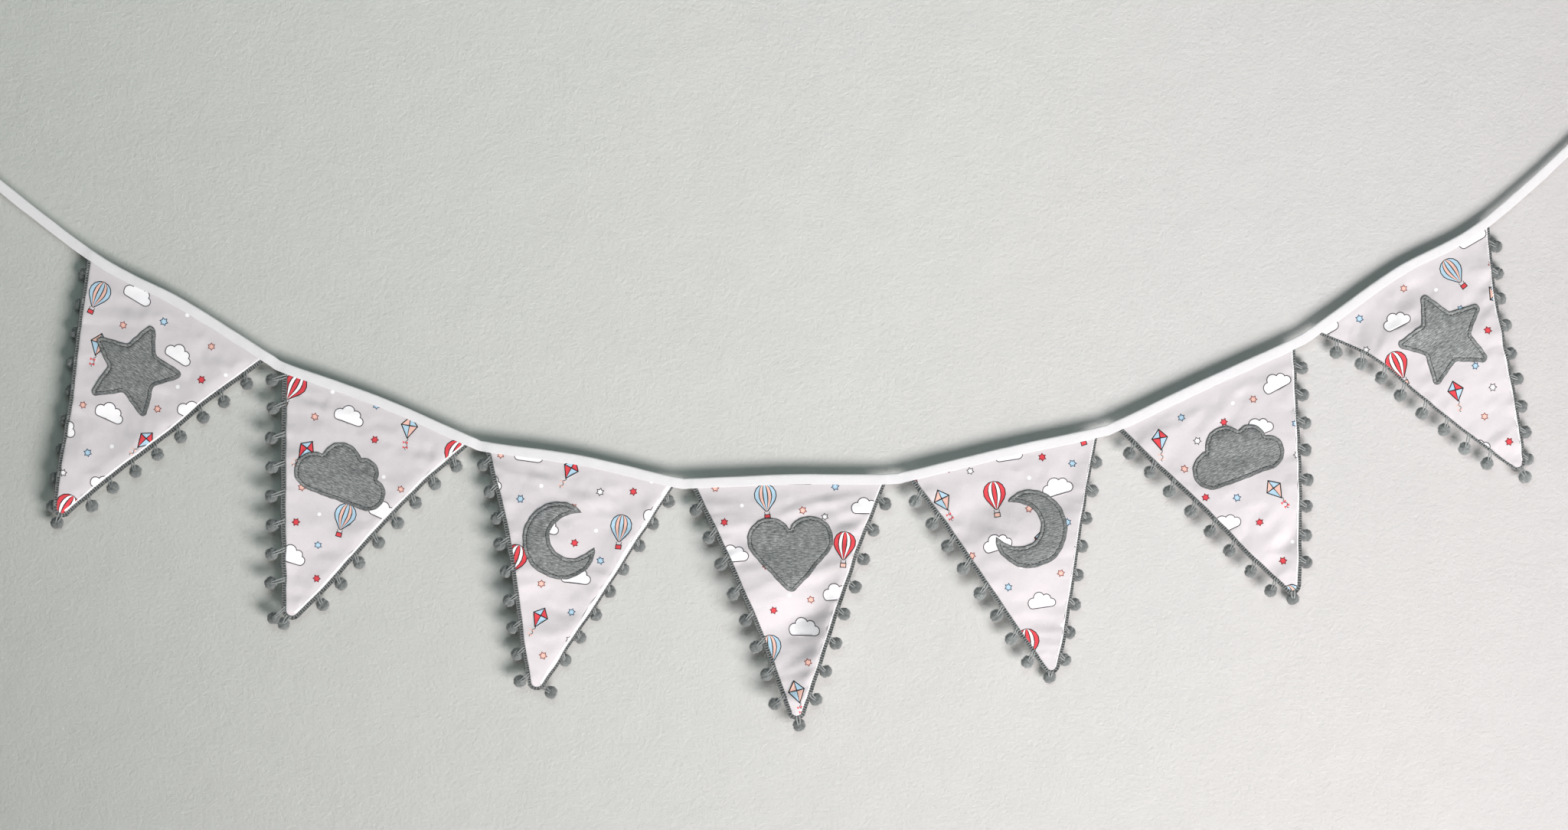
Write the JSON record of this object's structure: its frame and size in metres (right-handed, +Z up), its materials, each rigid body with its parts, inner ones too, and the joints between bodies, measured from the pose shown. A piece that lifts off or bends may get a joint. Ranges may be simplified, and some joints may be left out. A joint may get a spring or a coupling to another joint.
{
  "type": "fabric bunting",
  "caption": "Lined printed-cotton pennants with jersey patches and pompom braid, hung in a sagging row from a folded white tape.",
  "frame": {"origin": "top edge of the tape's left end, at the middle of its thickness", "axes": "+X runs to the right along the bunting as seen from the front, +Y points back at the wall, +Z is up"},
  "size_m": [1.4561, 0.0331, 0.5455],
  "materials": {
    "printed_cotton": "plain-woven cotton with a small print on a pale mauve-grey ground",
    "plain_cotton": "plain-woven white cotton",
    "tape_cotton": "folded white cotton binding",
    "pompom_yarn": "soft dark grey yarn, woven as braid and cut as pompoms",
    "marl_jersey": "grey marl knitted jersey, streaked across"
  },
  "bodies": {
    "root": {"tape": "tape_cotton", "pennant_1_front": "printed_cotton", "pennant_1_back": "plain_cotton", "pennant_1_patch": "marl_jersey", "pennant_1_trim": "pompom_yarn", "pennant_2_front": "printed_cotton", "pennant_2_back": "plain_cotton", "pennant_2_patch": "marl_jersey", "pennant_2_trim": "pompom_yarn", "pennant_3_front": "printed_cotton", "pennant_3_back": "plain_cotton", "pennant_3_patch": "marl_jersey", "pennant_3_trim": "pompom_yarn", "pennant_4_front": "printed_cotton", "pennant_4_back": "plain_cotton", "pennant_4_patch": "marl_jersey", "pennant_4_trim": "pompom_yarn", "pennant_5_front": "printed_cotton", "pennant_5_back": "plain_cotton", "pennant_5_patch": "marl_jersey", "pennant_5_trim": "pompom_yarn", "pennant_6_front": "printed_cotton", "pennant_6_back": "plain_cotton", "pennant_6_patch": "marl_jersey", "pennant_6_trim": "pompom_yarn", "pennant_7_front": "printed_cotton", "pennant_7_back": "plain_cotton", "pennant_7_patch": "marl_jersey", "pennant_7_trim": "pompom_yarn"}
  },
  "joints": []
}
